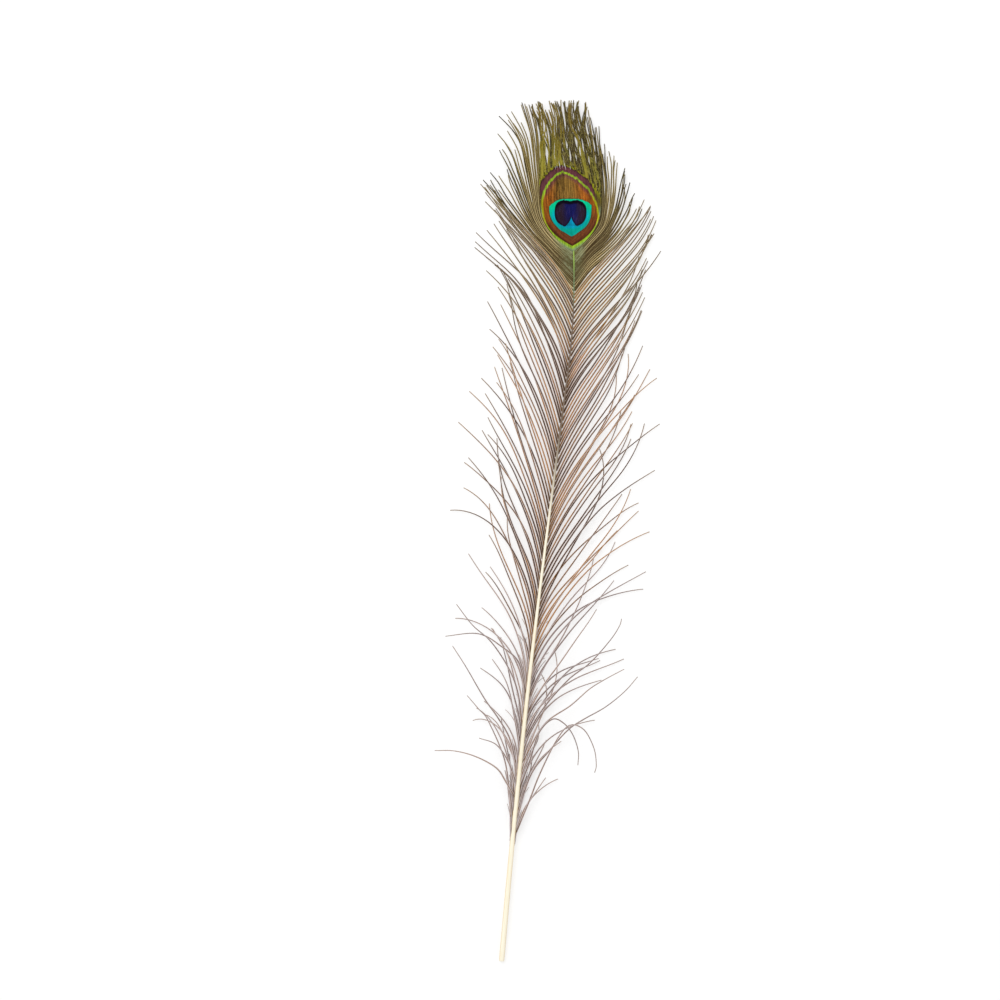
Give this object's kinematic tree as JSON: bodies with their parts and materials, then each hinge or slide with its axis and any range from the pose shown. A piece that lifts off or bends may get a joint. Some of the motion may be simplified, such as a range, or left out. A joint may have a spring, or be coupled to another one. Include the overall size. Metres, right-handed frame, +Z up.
{
  "type": "peacock feather",
  "caption": "Peacock tail feather lying face up: a tapered cream quill, loose copper barbs, a turquoise and indigo eye ringed in bronze, and an olive crest.",
  "frame": {"origin": "the middle of the feather's footprint, on the surface that it lies on", "axes": "+Y along the shaft from the quill to the crest, +Z up out of the coloured face, +X to the right of the face"},
  "size_m": [0.0712, 0.3, 0.0101],
  "materials": {
    "shaft_keratin": "satin horn, cream with tan edges",
    "copper_barbs": "fine fibres, copper brown with lilac-grey edges",
    "eye_barbs": "iridescent fine fibres in bronze, turquoise and indigo",
    "crest_barbs": "fine olive-green fibres with a soft gloss",
    "grey_barbs": "sparse grey-brown fibres"
  },
  "bodies": {
    "root": {"shaft": "shaft_keratin", "left_vane": "copper_barbs", "right_vane": "copper_barbs", "eye": "eye_barbs", "crest": "crest_barbs", "left_wisp_1": "grey_barbs", "left_wisp_2": "grey_barbs", "left_wisp_3": "grey_barbs", "left_wisp_4": "grey_barbs", "left_wisp_5": "grey_barbs", "left_wisp_6": "grey_barbs", "right_wisp_1": "grey_barbs", "right_wisp_2": "grey_barbs", "right_wisp_3": "grey_barbs", "right_wisp_4": "grey_barbs", "right_wisp_5": "grey_barbs", "right_wisp_6": "grey_barbs"}
  },
  "joints": []
}
